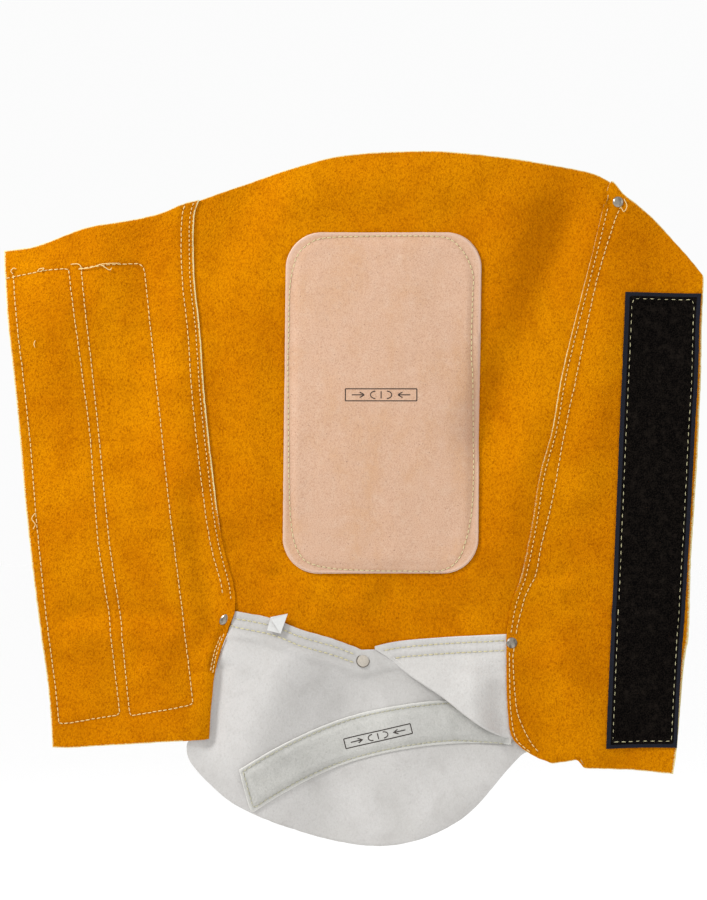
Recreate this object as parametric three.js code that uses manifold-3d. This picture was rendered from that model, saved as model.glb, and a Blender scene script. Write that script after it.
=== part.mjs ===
// A leather welding gaiter: the guard that a welder wraps round the lower leg and the foot. It hangs
// spread open here, seen from the side that lies against the leg.
// Millimetres. +Z runs up the shin, +Y points away from the leg, and the origin is the middle of the
// shin pad's face. Every sheet piece is cut from an outline in the XZ plane and has its thickness in Y.
import * as THREE from 'three';
import { mergeVertices } from 'three/addons/utils/BufferGeometryUtils.js';
import Module from 'manifold-3d';

const wasm = await Module();
wasm.setup();

// Driving dimensions
const LEATHER = 1.4;
const GAP = 0.3;
const PLATE = 1.0;
const TAPE = 1.6;
const THREAD_WIDTH = 1.0;
const THREAD = 0.6;
// Stitching on a face that something rests on lies sunk in a groove
const THREAD_SINK = 0.1;
const GROOVE_DEPTH = 1.0;

const PAD = { width: 138, height: 239, corner: 26, leather: 2.0, stitchInset: 3.5 };
const PAD_PLATE = { width: 125, height: 226, corner: 20 };
const PATCH = { x: 65, z: -511, radius: 288, halfWidth: 15.5, leather: 1.1, stitchInset: 3.2 };
const PATCH_ENDS = { start: 86, end: 124, lean: 1.1 };
const PATCH_PLATE = { halfWidth: 8, startInset: 2, endInset: 3, endGap: 0.1 };
const STRIP = { width: 50, height: 320, stitchInset: 4 };

const SEAM_LAP = { left: 11, right: 15 };
const BAND_LAP = 16;
const JOGGLE = 4;
const JOGGLE_OVERLAP = 0.4;
const TUCK_SLOPE = 0.2;

// How far each stitching row lies from the edge that it holds down
const SEAM_ROWS = { leftInner: -3, leftOuter: -8.6, rightInner: 3.2 };
const ANKLE_ROWS = { leftInner: -1.2, leftOuter: -2.8, rightInner: 2, rightOuter: 5.6 };
const BAND_ROWS = { leftUpper: -5.2, leftLower: -11.4, rightUpper: -4.6, rightLower: -11.4 };

const RIVET_HOLE = 1.7;
const RIVET_SHANK = 1.4;
const RIVET_HEAD = 1.2;
const SOCKET_DEPTH = 0.5;

// Curve detail
const OUTLINE_SEGMENTS = 8;
const ARC_SEGMENTS = 14;
const ROUND_SEGMENTS = 24;
const CORNER_SEGMENTS = 6;

// Layers in Y, from the leg outwards
const PLATE_FRONT = PAD.leather + GAP;
const PANEL_FRONT = PLATE_FRONT + PLATE + GAP;
const PANEL_BACK = PANEL_FRONT + LEATHER;
const LAP_BACK = PANEL_FRONT - GAP;
const LAP_FRONT = LAP_BACK - LEATHER;
const PATCH_FRONT = PLATE_FRONT - GAP - PATCH.leather;
const SEAM_THREAD_BACK = LAP_FRONT - GAP;

// Finishes
const GOLD_SUEDE = { color: 0xd98c08, roughness: 0.95, metalness: 0 };
const PALE_HIDE = { color: 0xe1b99b, roughness: 0.8, metalness: 0 };
const GREY_HIDE = { color: 0xcdcac8, roughness: 0.9, metalness: 0 };
const GREY_SUEDE = { color: 0xb9bdba, roughness: 0.95, metalness: 0 };
const ALUMINIUM = { color: 0xc9ccd0, roughness: 0.4, metalness: 1 };
const NICKEL = { color: 0xb8b4ad, roughness: 0.3, metalness: 1 };
const BLACK_PILE = { color: 0x14110f, roughness: 1, metalness: 0 };
const CREAM_THREAD = { color: 0xf3e4b6, roughness: 0.8, metalness: 0 };
const WHITE_TAPE = { color: 0xf2f2f0, roughness: 0.9, metalness: 0 };

const group = new THREE.Group();

function addMesh(name, geometry, finish) {
  const mesh = new THREE.Mesh(geometry, new THREE.MeshStandardMaterial(finish));
  mesh.name = name;
  group.add(mesh);
  return mesh;
}

// Outlines: lists of points in the XZ plane

function line(points) {
  return points.map(([x, z]) => new THREE.Vector2(x, z));
}

function curve(points) {
  return new THREE.SplineCurve(line(points)).getPoints(2 * (points.length - 1));
}

function moved(points, x, z) {
  return points.map((point) => new THREE.Vector2(point.x + x, point.y + z));
}

function closed(...edges) {
  const points = edges.flat();
  const kept = points.filter((point, i) => point.distanceTo(points.at(i - 1)) > 0.05);
  return new THREE.Shape(kept);
}

function roundedRectangle(width, height, radius) {
  const x = width / 2 - radius;
  const z = height / 2 - radius;
  const shape = new THREE.Shape();
  shape.absarc(x, z, radius, 0, Math.PI / 2);
  shape.absarc(-x, z, radius, Math.PI / 2, Math.PI);
  shape.absarc(-x, -z, radius, Math.PI, 1.5 * Math.PI);
  shape.absarc(x, -z, radius, 1.5 * Math.PI, 2 * Math.PI);
  return shape;
}

// A curved band about the instep patch's centre, between two angles in degrees; the far end leans.
function arcBand(halfWidth, start, end) {
  const lean = (halfWidth / PATCH.halfWidth) * THREE.MathUtils.degToRad(PATCH_ENDS.lean);
  const [first, last] = [start, end].map(THREE.MathUtils.degToRad);
  const shape = new THREE.Shape();
  shape.absarc(PATCH.x, PATCH.z, PATCH.radius + halfWidth, first, last - lean, false);
  shape.absarc(PATCH.x, PATCH.z, PATCH.radius - halfWidth, last + lean, first, true);
  return shape;
}

// A run of stitching: a narrow ribbon along a path
function ribbon(path) {
  const sides = [1, -1].map((side) => path.map((point, i) => {
    const before = path[Math.max(i - 1, 0)];
    const after = path[Math.min(i + 1, path.length - 1)];
    const along = new THREE.Vector2().subVectors(after, before).setLength(side * THREAD_WIDTH / 2);
    return new THREE.Vector2(point.x - along.y, point.y + along.x);
  }));
  return new THREE.Shape([...sides[0], ...sides[1].reverse()]);
}

// The insets of a sunk run of stitching and of the groove round it
function groovePair(inset) {
  return {
    thread: [inset, inset + THREAD_WIDTH],
    groove: [inset - GAP, inset + THREAD_WIDTH + GAP],
  };
}

// Solids

function slab(shape, front, back, curveSegments = OUTLINE_SEGMENTS) {
  const options = { depth: back - front, bevelEnabled: false, curveSegments };
  const geometry = new THREE.ExtrudeGeometry(shape, options);
  geometry.rotateX(Math.PI / 2);
  geometry.translate(0, back, 0);
  return geometry;
}

function withHoles(shape, holes) {
  for (const [x, z, radius] of holes) {
    shape.holes.push(new THREE.Path().absarc(x, z, radius, 0, 2 * Math.PI));
  }
  return shape;
}

function ring(outer, inner, front, back, curveSegments) {
  outer.holes.push(inner);
  return slab(outer, front, back, curveSegments);
}

function solid(geometry) {
  const bare = geometry.clone();
  bare.deleteAttribute('normal');
  bare.deleteAttribute('uv');
  const merged = mergeVertices(bare, 1e-4);
  return new wasm.Manifold(new wasm.Mesh({
    numProp: 3,
    vertProperties: merged.attributes.position.array,
    triVerts: new Uint32Array(merged.index.array),
  }));
}

function surface(manifold) {
  const { vertProperties, triVerts } = manifold.getMesh();
  const geometry = new THREE.BufferGeometry();
  geometry.setAttribute('position', new THREE.BufferAttribute(vertProperties, 3));
  geometry.setIndex(new THREE.BufferAttribute(triVerts, 1));
  return geometry;
}

function cut(geometry, tool) {
  return surface(solid(geometry).subtract(solid(tool)));
}

// Everything on one side of a fold line, short of it by half of the fold's gap
function besideFold(fold, side) {
  const [start, end] = line([fold.from, fold.to]);
  const along = new THREE.Vector2().subVectors(end, start).normalize();
  const across = new THREE.Vector2(-along.y, along.x).multiplyScalar(side);
  const corner = (run, reach) => start.clone().addScaledVector(along, run).addScaledVector(across, reach);
  const near = fold.gap / 2;
  const shape = new THREE.Shape([
    corner(-500, near), corner(900, near), corner(900, 700), corner(-500, 700),
  ]);
  return solid(slab(shape, -60, 60));
}

function splitAtFold(hide, fold) {
  const whole = solid(hide);
  return [1, -1].map((side) => surface(whole.intersect(besideFold(fold, side))));
}

// The folds that the leather bends at, each from its lower or left end
const LEFT_FOLD = { from: [-125, -230], to: [-146, 140], gap: 2.4 };
const RIGHT_FOLD = { from: [113, -250], to: [175, 155], gap: 2.4 };
const TOE_FOLD = { from: [-95, -290], to: [112, -254.5], gap: 1.6 };

// Where the rivets go through: x, z and the head's radius
const RIVETS = {
  flap_middle: [-13.3, -180.8, 4.6],
  left_ankle: [-110.5, -152, 3.9],
  right_ankle: [90.8, -168, 3.8],
  right_top: [165.5, 141, 3.8],
};

function rivetHoles(...names) {
  return names.map((name) => [RIVETS[name][0], RIVETS[name][1], RIVET_HOLE]);
}

// Edges shared by neighbouring pieces, from the top down or from the left
const LEFT_SEAM = curve([
  [-127, 142.5], [-132, 105], [-129, 70], [-124, 2],
  [-117.5, -58], [-112, -98], [-104, -129], [-103, -146],
]);
const LEFT_ANKLE = curve([[-103, -146], [-109, -161], [-115.5, -180], [-119.5, -210], [-121, -235.5]]);
const RIGHT_SEAM = curve([
  [156, 140], [147, 103], [136.5, 63], [126, 20], [119, -19], [110.5, -50],
  [105, -85], [98, -120], [91, -140], [87, -162],
]);
const RIGHT_ANKLE = curve([[87, -162], [87, -191], [88, -216], [91, -234], [99.5, -243], [108.5, -248.5]]);
const BAND_LEFT = curve([[-103, -146], [-77, -151], [-56, -159], [-34, -165.5], [-14, -173]]);
const BAND_RIGHT = curve([[-14, -173], [8.5, -167.5], [40, -164.5], [87, -162]]);
const BAND_TOP = [...BAND_LEFT, ...BAND_RIGHT.slice(1)];

function addShinPanel() {
  const top = curve([
    [-141.5, 137.5], [-127, 142.5], [-97, 153.5], [-64, 164], [-26, 173.5], [27, 176.5],
    [62, 174.5], [90, 171.5], [115, 167.5], [145, 162], [160, 155], [170, 145.5],
  ]);
  const right = moved(RIGHT_SEAM, SEAM_LAP.right, 0);
  const bottom = moved(BAND_TOP, 0, -BAND_LAP).reverse();
  const left = moved(LEFT_SEAM, -SEAM_LAP.left, 0).reverse();
  const outline = closed(top, right, bottom, line([[-118, -160]]), left.slice(0, -1));
  withHoles(outline, rivetHoles('flap_middle', 'left_ankle', 'right_ankle', 'right_top'));
  addMesh('shin_panel', slab(outline, PANEL_FRONT, PANEL_BACK), GOLD_SUEDE);
}

// The shin pad is a pocket: a thick face with a rim that is sewn down round its plate.
function addShinPad() {
  const face = slab(roundedRectangle(PAD.width, PAD.height, PAD.corner), 0, LAP_BACK);
  const room = roundedRectangle(
    PAD_PLATE.width + 2 * GAP,
    PAD_PLATE.height + 2 * GAP,
    PAD_PLATE.corner + GAP,
  );
  const insets = groovePair(PAD.stitchInset);
  const outlines = (pair) => pair.map((inset) => (
    roundedRectangle(PAD.width - 2 * inset, PAD.height - 2 * inset, PAD.corner - inset)
  ));
  const groove = ring(...outlines(insets.groove), -GAP, GROOVE_DEPTH, CORNER_SEGMENTS);
  const hollowed = cut(face, slab(room, PAD.leather, PANEL_BACK));
  addMesh('shin_pad', cut(hollowed, groove), PALE_HIDE);
  const plate = roundedRectangle(PAD_PLATE.width, PAD_PLATE.height, PAD_PLATE.corner);
  addMesh('shin_plate', slab(plate, PLATE_FRONT, PLATE_FRONT + PLATE), ALUMINIUM);
  const thread = ring(
    ...outlines(insets.thread), THREAD_SINK, THREAD_SINK + THREAD, CORNER_SEGMENTS,
  );
  addMesh('shin_pad_thread', thread, CREAM_THREAD);
}

function addLeftWing() {
  const bottom = line([[-138, -236.5], [-183, -240], [-216, -242], [-231, -241.5]]);
  const outer = curve([
    [-231, -241.5], [-235.5, -195], [-250, -73], [-257, 5.5], [-264, 90], [-264.5, 106.5],
  ]);
  const top = curve([
    [-264.5, 106.5], [-241, 110], [-207, 122.5], [-179, 127.5],
    [-156, 132.5], [-138.5, 139.5], [-127, 142.5],
  ]);
  const outline = closed(LEFT_SEAM, LEFT_ANKLE, bottom, outer, top);
  withHoles(outline, rivetHoles('left_ankle'));
  const [wing, hem] = splitAtFold(slab(outline, LAP_FRONT, LAP_BACK), LEFT_FOLD);
  addMesh('left_wing', wing, GOLD_SUEDE);
  addMesh('left_wing_hem', hem, GOLD_SUEDE);
}

function addRightWing() {
  const bottom = line([
    [119, -252.7], [127.5, -252], [138, -250], [141.5, -256], [176, -257.5], [204.5, -260.5],
  ]);
  const outer = curve([
    [204.5, -260.5], [209.5, -207], [215.5, -160], [218, -85],
    [221, -12], [225.5, 80], [225.5, 89.5],
  ]);
  const top = curve([
    [225.5, 89.5], [211.5, 107], [190.5, 129.5], [170, 146], [160.5, 155.5], [156, 140],
  ]);
  const outline = closed(RIGHT_SEAM, RIGHT_ANKLE, bottom, outer, top);
  withHoles(outline, rivetHoles('right_ankle', 'right_top'));
  const [hem, wing] = splitAtFold(slab(outline, LAP_FRONT, LAP_BACK), RIGHT_FOLD);
  addMesh('right_wing', wing, GOLD_SUEDE);
  addMesh('right_wing_hem', hem, GOLD_SUEDE);
}

// The foot flap's top edge laps over the shin panel as a band, then steps back behind the ankle hems.
function footFlapHide() {
  const bandOutline = closed(
    BAND_TOP.slice(1, -1),
    line([[86.6, -162], [86.6, -162 - BAND_LAP - JOGGLE]]),
    moved(BAND_TOP, 0, -BAND_LAP - JOGGLE).reverse().slice(1),
    line([[-109.5, -165], [-108.4, -161], [-102.4, -146.2]]),
  );
  const band = slab(withHoles(bandOutline, rivetHoles('flap_middle')), LAP_FRONT, LAP_BACK);
  const stepTop = moved(BAND_TOP, 0, -BAND_LAP - JOGGLE_OVERLAP).slice(1, -1);
  const stepBottom = moved(stepTop, 0, JOGGLE_OVERLAP - JOGGLE).reverse();
  const step = slab(closed(stepTop, stepBottom), LAP_FRONT, PANEL_BACK);
  const sheetOutline = closed(
    line([[-118, -160.4]]),
    moved(BAND_TOP, 0, -BAND_LAP - JOGGLE_OVERLAP),
    line([[102, -178]]),
    curve([[102, -191], [104, -216], [106.5, -236], [109, -247.8]]),
    line([[104, -246], [99.5, -243.5]]),
    curve([
      [86, -258.5], [64, -284], [45, -297.5], [19.5, -307.5],
      [-5, -311], [-36, -307.5], [-64, -299], [-91, -288],
    ]),
    curve([[-110.5, -276.5], [-133, -254], [-136.5, -243], [-134, -238.6]]),
    line([[-124.5, -238.4], [-123.5, -212], [-122, -190]]),
  );
  const sheet = slab(sheetOutline, PANEL_FRONT, PANEL_BACK);
  return surface(solid(sheet).add(solid(step)).add(solid(band)));
}

function addFootFlap() {
  const [instep, toe] = splitAtFold(footFlapHide(), TOE_FOLD);
  addMesh('foot_flap', instep, GREY_HIDE);
  addMesh('toe_flap', toe, GREY_HIDE);
}

// The corner of the foot flap that is folded over leans out towards the leg, away from the band.
function addFootFlapTuck() {
  const [left, right] = [[0, -182], [86.2, -175.8]];
  const topSlope = (right[1] - left[1]) / (right[0] - left[0]);
  const top = line([left, right]);
  const rightEdge = line([[86.4, -191], [87.4, -216], [90, -235]]);
  const foldEdge = curve([[90, -235], [75, -229.5], [42, -206], [18, -190.5], [0, -182]]);
  const outline = closed(top, rightEdge, foldEdge);
  const geometry = slab(outline, SEAM_THREAD_BACK - LEATHER, SEAM_THREAD_BACK);
  const position = geometry.attributes.position;
  for (let i = 0; i < position.count; i += 1) {
    const topEdge = left[1] + (position.getX(i) - left[0]) * topSlope;
    const below = topEdge - position.getZ(i);
    position.setY(i, position.getY(i) - TUCK_SLOPE * Math.max(below, 0));
  }
  addMesh('foot_flap_tuck', geometry, GREY_HIDE);
}

// The instep patch is a pocket like the pad: a curved band sewn down over a bendable strip.
function addInstepPatch() {
  const { start, end } = PATCH_ENDS;
  const { halfWidth, startInset, endInset, endGap } = PATCH_PLATE;
  const face = slab(arcBand(PATCH.halfWidth, start, end), PATCH_FRONT, LAP_BACK, ARC_SEGMENTS);
  const room = arcBand(halfWidth + GAP, start + startInset - endGap, end - endInset + endGap);
  const roomSolid = slab(room, PLATE_FRONT - GAP, PANEL_BACK, ARC_SEGMENTS);
  const outlines = (pair) => pair.map((inset) => {
    const turn = THREE.MathUtils.radToDeg(inset / PATCH.radius);
    return arcBand(PATCH.halfWidth - inset, start + turn, end - turn);
  });
  const insets = groovePair(PATCH.stitchInset);
  const grooveBack = PATCH_FRONT + GROOVE_DEPTH;
  const groove = ring(...outlines(insets.groove), -GAP, grooveBack, ARC_SEGMENTS);
  addMesh('instep_patch', cut(cut(face, roomSolid), groove), GREY_SUEDE);
  const strip = arcBand(halfWidth, start + startInset, end - endInset);
  const plate = slab(strip, PLATE_FRONT, PLATE_FRONT + PLATE, ARC_SEGMENTS);
  addMesh('instep_plate', plate, ALUMINIUM);
  const front = PATCH_FRONT + THREAD_SINK;
  const thread = ring(...outlines(insets.thread), front, front + THREAD, ARC_SEGMENTS);
  addMesh('instep_patch_thread', thread, CREAM_THREAD);
}

function stripOutline(inset) {
  const [halfWidth, halfHeight] = [STRIP.width / 2 - inset, STRIP.height / 2 - inset];
  return closed(line([
    [-halfWidth, -halfHeight], [halfWidth, -halfHeight],
    [halfWidth, halfHeight], [-halfWidth, halfHeight],
  ]));
}

// A strip of hook or loop tape with its stitching, centred at x, z and turned by tilt degrees.
// front is the Y of the tape's leg side, and the thread lies in the layer from threadFront. Where
// that is inside the tape, the tape has a groove for it.
function addTapeStrip(name, x, z, tilt, front, threadFront) {
  const turn = THREE.MathUtils.degToRad(tilt);
  const insets = groovePair(STRIP.stitchInset);
  const whole = slab(stripOutline(0), front, front + TAPE);
  const groove = ring(...insets.groove.map(stripOutline), front - GAP, front + GROOVE_DEPTH);
  const tape = threadFront > front ? cut(whole, groove) : whole;
  const tapeMesh = addMesh(name, tape, BLACK_PILE);
  tapeMesh.position.set(x, 0, z);
  tapeMesh.rotation.y = turn;
  const thread = ring(
    ...insets.thread.map(stripOutline), threadFront, threadFront + THREAD,
  );
  const threadMesh = addMesh(`${name}_thread`, thread, CREAM_THREAD);
  threadMesh.position.set(x, 0, z);
  threadMesh.rotation.y = turn;
}

function addTapeStrips() {
  const hookFront = LAP_BACK + GAP;
  const seamThreadFront = SEAM_THREAD_BACK - THREAD;
  addTapeStrip('hook_strip_outer', -221, -64.8, -6, hookFront, seamThreadFront);
  addTapeStrip('hook_strip_inner', -170.5, -60.4, -6, hookFront, seamThreadFront);
  const loopFront = LAP_FRONT - GAP - TAPE;
  addTapeStrip('loop_strip', 188.6, -82, 2.75, loopFront, loopFront + THREAD_SINK);
}

function addThreadRun(name, path) {
  const geometry = slab(ribbon(path), SEAM_THREAD_BACK - THREAD, SEAM_THREAD_BACK);
  addMesh(name, geometry, CREAM_THREAD);
}

function addSeamThreads() {
  const left = LEFT_SEAM.slice(1, -1);
  addThreadRun('left_seam_thread_inner', moved(left, SEAM_ROWS.leftInner, 0));
  addThreadRun('left_seam_thread_outer', moved(left, SEAM_ROWS.leftOuter, 0));
  const leftAnkle = LEFT_ANKLE.slice(3, -1);
  addThreadRun('left_ankle_thread_inner', moved(leftAnkle, ANKLE_ROWS.leftInner, 0));
  addThreadRun('left_ankle_thread_outer', moved(leftAnkle, ANKLE_ROWS.leftOuter, 0));
  const right = RIGHT_SEAM.slice(0, -1);
  addThreadRun('right_seam_thread_inner', moved(right, SEAM_ROWS.rightInner, 0));
  addThreadRun('right_seam_thread_outer', curve([
    [165, 132], [149, 80], [136, 18], [127.5, -22], [119, -69], [111.5, -101], [99, -137], [94.5, -155],
  ]));
  const rightAnkle = RIGHT_ANKLE.slice(2, -2);
  addThreadRun('right_ankle_thread_inner', moved(rightAnkle, ANKLE_ROWS.rightInner, 0));
  addThreadRun('right_ankle_thread_outer', moved(rightAnkle, ANKLE_ROWS.rightOuter, 0));
  const [besideMiddleLeft, besideMiddleRight] = [BAND_LEFT.slice(1, -1), BAND_RIGHT.slice(1, -1)];
  addThreadRun('flap_seam_thread_left_upper', moved(besideMiddleLeft, 0, BAND_ROWS.leftUpper));
  addThreadRun('flap_seam_thread_left_lower', moved(besideMiddleLeft, 0, BAND_ROWS.leftLower));
  addThreadRun('flap_seam_thread_right_upper', moved(besideMiddleRight, 0, BAND_ROWS.rightUpper));
  addThreadRun('flap_seam_thread_right_lower', moved(besideMiddleRight, 0, BAND_ROWS.rightLower));
}

function addCareTag() {
  const outline = closed(line([[-77.7, -150.2], [-66.2, -147.6], [-70.9, -161.2], [-80.2, -158.7]]));
  const back = SEAM_THREAD_BACK - THREAD - GAP;
  addMesh('care_tag', slab(outline, back - THREAD, back), WHITE_TAPE);
}

// Each rivet is a headed post from the outside and a domed cap that takes its tip on the leg side.
function addRivets() {
  for (const [name, [x, z, radius]] of Object.entries(RIVETS)) {
    const capBack = SEAM_THREAD_BACK;
    const cap = line([
      [0, capBack - RIVET_HEAD], [0.55 * radius, capBack - 0.92 * RIVET_HEAD],
      [0.88 * radius, capBack - 0.6 * RIVET_HEAD], [radius, capBack - 0.2 * RIVET_HEAD],
      [0.94 * radius, capBack], [RIVET_HOLE, capBack],
      [RIVET_HOLE, capBack - SOCKET_DEPTH], [0, capBack - SOCKET_DEPTH],
    ]);
    const headFront = PANEL_BACK + GAP;
    const post = line([
      [0, capBack - SOCKET_DEPTH + GAP], [RIVET_SHANK, capBack - SOCKET_DEPTH + GAP],
      [RIVET_SHANK, headFront], [0.94 * radius, headFront], [radius, headFront + 0.2 * RIVET_HEAD],
      [0.88 * radius, headFront + 0.6 * RIVET_HEAD], [0, headFront + RIVET_HEAD],
    ]);
    for (const [part, profile] of [['cap', cap], ['post', post]]) {
      const mesh = addMesh(`${name}_rivet_${part}`, new THREE.LatheGeometry(profile, ROUND_SEGMENTS), NICKEL);
      mesh.position.set(x, 0, z);
    }
  }
}

addShinPanel();
addShinPad();
addLeftWing();
addRightWing();
addFootFlap();
addFootFlapTuck();
addInstepPatch();
addTapeStrips();
addSeamThreads();
addCareTag();
addRivets();

export default group;
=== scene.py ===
import math
import random
from bisect import bisect_right

import bmesh
import bpy
from mathutils import Matrix, Vector, noise
from mathutils.kdtree import KDTree


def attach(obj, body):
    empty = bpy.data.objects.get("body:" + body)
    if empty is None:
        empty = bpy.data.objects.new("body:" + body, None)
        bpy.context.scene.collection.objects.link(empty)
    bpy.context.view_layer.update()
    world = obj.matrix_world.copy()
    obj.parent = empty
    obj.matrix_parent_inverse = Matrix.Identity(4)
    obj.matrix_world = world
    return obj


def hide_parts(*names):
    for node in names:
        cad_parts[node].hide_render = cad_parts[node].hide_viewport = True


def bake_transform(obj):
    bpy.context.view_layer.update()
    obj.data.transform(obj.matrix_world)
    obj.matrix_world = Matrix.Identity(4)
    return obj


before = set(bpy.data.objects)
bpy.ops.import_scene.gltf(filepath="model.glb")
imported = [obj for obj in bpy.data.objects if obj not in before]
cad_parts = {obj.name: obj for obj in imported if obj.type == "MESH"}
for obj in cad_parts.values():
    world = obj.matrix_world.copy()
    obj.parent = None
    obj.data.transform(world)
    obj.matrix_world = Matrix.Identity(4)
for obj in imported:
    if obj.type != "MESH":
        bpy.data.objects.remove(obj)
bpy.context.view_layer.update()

MM = 0.001
LEATHER = 1.4
TUCK_LEATHER = 1.26
PAD_LEATHER = 2.0
PATCH_LEATHER = 1.2
PLATE = 1.0
TAPE = 1.12
LOOP_PILE = 0.45
STITCH_PITCH = 3.8
THREAD_RADIUS = 0.35
THREAD_SHARE = 0.8
THREAD_WANDER = 0.12
PUCKER = 0.5
HOLE_REACH = 2.2
RIM_FALL = 0.35

# Depth of each layer's leg side
LAP_FRONT = 1.9
PANEL_FRONT = 3.6
PLATE_FRONT = 2.3
LOOP_FRONT = 0.65
HOOK_FRONT = 3.6

PAD = {"width": 137, "height": 239, "corner": 25, "lean": 0.011}
PLATE_SHAPE = {"width": 125, "height": 226, "corner": 20}
PATCH = {"x": 65, "z": -511, "radius": 288, "half": 15.5, "start": 84.6, "end": 124, "lean": 1.1}
STRIP = {"width": 50, "height": 320}
FOLD_DEPTH = 1.7
TUCK_ROWS = {"face": 46, "roll": 8, "return": 8}

# Where the leather bends when the gaiter is wrapped: body, start and end of the bend
LEFT_BEND = ("left_wing", (-131.5, 2.6, -44.8), (-161.5, 2.6, -46.5))
RIGHT_BEND = ("right_wing", (140.0, 2.6, -46.9), (169.7, 2.6, -51.4))
TOE_BEND = ("toe_flap", (6.5, 4.3, -260.4), (10.9, 4.3, -286.0))

random.seed(11)


# ---------------------------------------------------------------- paths and cuts

def smoothstep(low, high, value):
    t = min(max((value - low) / (high - low), 0.0), 1.0)
    return t * t * (3 - 2 * t)


def rounded(knots, steps=10):
    """A smooth curve through the knots."""
    ends = [2 * knots[0] - knots[1], *knots, 2 * knots[-1] - knots[-2]]
    points = [knots[0].copy()]
    for a, b, c, d in zip(ends, ends[1:], ends[2:], ends[3:]):
        for i in range(1, steps + 1):
            t = i / steps
            points.append(0.5 * (
                2 * b + (c - a) * t
                + (2 * a - 5 * b + 4 * c - d) * t * t
                + (3 * b - a - 3 * c + d) * t ** 3
            ))
    return points


class Edge:
    """A line on the leather, measured along its length."""

    def __init__(self, points, smooth=True):
        knots = [Vector(p) for p in points]
        self.points = rounded(knots) if smooth and len(knots) > 2 else knots
        self.reach = [0.0]
        for a, b in zip(self.points, self.points[1:]):
            self.reach.append(self.reach[-1] + (b - a).length)
        self.length = self.reach[-1]

    def at(self, share):
        run = min(max(share, 0.0), 1.0) * self.length
        i = min(bisect_right(self.reach, run), len(self.points) - 1)
        span = self.reach[i] - self.reach[i - 1]
        t = (run - self.reach[i - 1]) / span if span else 0.0
        return self.points[i - 1].lerp(self.points[i], t)

    def moved(self, x, z):
        return Edge([p + Vector((x, z)) for p in self.points], smooth=False)

    def reversed(self):
        return Edge(self.points[::-1], smooth=False)

    def part(self, start, end, steps=40):
        shares = [start + (end - start) * i / steps for i in range(steps + 1)]
        return Edge([self.at(s) for s in shares], smooth=False)

    def height(self, x):
        """z of a line that runs from left to right, at x."""
        points = self.points
        if x <= points[0].x:
            return points[0].y
        for a, b in zip(points, points[1:]):
            if a.x <= x < b.x:
                return a.y + (b.y - a.y) * (x - a.x) / (b.x - a.x)
        return points[-1].y

    def side(self, z):
        """x of a line that runs from top to bottom, at z."""
        points = self.points
        if z >= points[0].y:
            return points[0].x
        for a, b in zip(points, points[1:]):
            if b.y <= z < a.y:
                return a.x + (b.x - a.x) * (z - a.y) / (b.y - a.y)
        return points[-1].x


def joined(*edges):
    points = list(edges[0].points)
    for edge in edges[1:]:
        points += edge.points[1:] if (edge.points[0] - points[-1]).length < 0.01 else edge.points
    return Edge(points, smooth=False)


class Cut:
    """A flat piece of leather between four edges. Across runs left to right, up from the bottom."""

    def __init__(self, bottom, top, left, right):
        self.bottom, self.top, self.left, self.right = bottom, top, left, right

    def at(self, u, v):
        low, high = self.bottom.at(u), self.top.at(u)
        left, right = self.left.at(v), self.right.at(v)
        corners = (
            (1 - u) * (1 - v) * self.bottom.at(0) + u * (1 - v) * self.bottom.at(1)
            + (1 - u) * v * self.top.at(0) + u * v * self.top.at(1)
        )
        return (1 - v) * low + v * high + (1 - u) * left + u * right - corners

    def outline(self):
        return [
            *self.bottom.points, *self.right.points[1:],
            *self.top.points[::-1][1:], *self.left.points[::-1][1:],
        ]


def flat_size(outline):
    """Width, length and area of a cut, in metres."""
    xs, zs = [p.x for p in outline], [p.y for p in outline]
    twice = sum(a.x * b.y - b.x * a.y for a, b in zip(outline, outline[1:] + outline[:1]))
    width, length = (max(xs) - min(xs)) * MM, (max(zs) - min(zs)) * MM
    return (width, length), min(abs(twice) / 2 * MM * MM, width * length)


LEFT_SEAM = Edge([
    (-128.2, 142.5), (-131.5, 131), (-132.2, 107), (-131, 82), (-127.6, 52), (-124, 2),
    (-117.5, -58), (-112, -98), (-104, -129), (-103, -146),
])
LEFT_ANKLE = Edge([(-103, -146), (-109, -161), (-115.5, -180), (-119.5, -210), (-121, -235.5)])
RIGHT_SEAM = Edge([
    (156, 140), (147, 103), (136.5, 63), (126, 20), (119, -19), (110.5, -50),
    (105, -85), (98, -120), (91, -140), (87, -162),
])
RIGHT_ANKLE = Edge([(87, -162), (87, -191), (88, -216), (91, -234), (99.5, -243), (108.5, -248.5)])
BAND_LEFT = Edge([(-103, -146), (-77, -151), (-56, -159), (-34, -165.5), (-14, -173)])
BAND_RIGHT = Edge([(-14, -173), (8.5, -167.5), (40, -164.5), (87, -162)])
BAND_TOP = joined(BAND_LEFT, BAND_RIGHT)
FLAP_TOP = Edge([(-5, -172.6), (6, -176.5), (20, -186), (44, -199), (60, -211), (80, -222), (100, -230)])
TUCK_FOLD = Edge([(-5, -172.6), (5, -179.2), (18.2, -190.4), (42, -205.8), (58, -218.4), (75, -229.6),
                  (93.3, -238)])


# ---------------------------------------------------------------- how the leather hangs

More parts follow.
